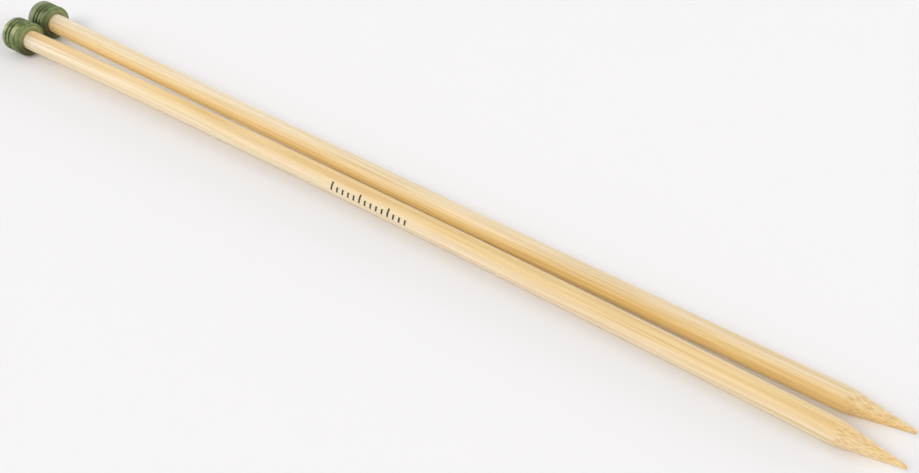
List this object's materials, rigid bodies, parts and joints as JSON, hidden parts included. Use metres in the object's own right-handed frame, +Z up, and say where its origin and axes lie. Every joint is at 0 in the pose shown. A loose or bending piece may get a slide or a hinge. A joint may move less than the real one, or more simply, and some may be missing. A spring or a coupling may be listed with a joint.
{
  "type": "straight knitting needles",
  "caption": "Pair of straight bamboo knitting needles with tapered tips and grooved, green-dyed wooden knobs, lying side by side.",
  "frame": {"origin": "middle of the pair's footprint, on the surface that the needles lie on", "axes": "+X from the knobs towards the tips, +Y from the near needle towards the far one, +Z up"},
  "size_m": [0.3063, 0.0233, 0.0115],
  "materials": {
    "bamboo": "smooth waxed bamboo with fine lengthwise fibres",
    "dyed_wood": "turned, green-dyed laminated wood with a satin varnish",
    "glue": "cured clear amber wood glue"
  },
  "bodies": {
    "near_needle": {"near_shaft": "bamboo", "near_knob": "dyed_wood", "near_glue": "glue"},
    "far_needle": {"far_shaft": "bamboo", "far_knob": "dyed_wood", "far_glue": "glue"}
  },
  "joints": [
    {"name": "needles_apart", "type": "slide", "parent": "near_needle", "child": "far_needle", "axis": [0, 1, 0], "range_m": [0, 0.06]}
  ]
}
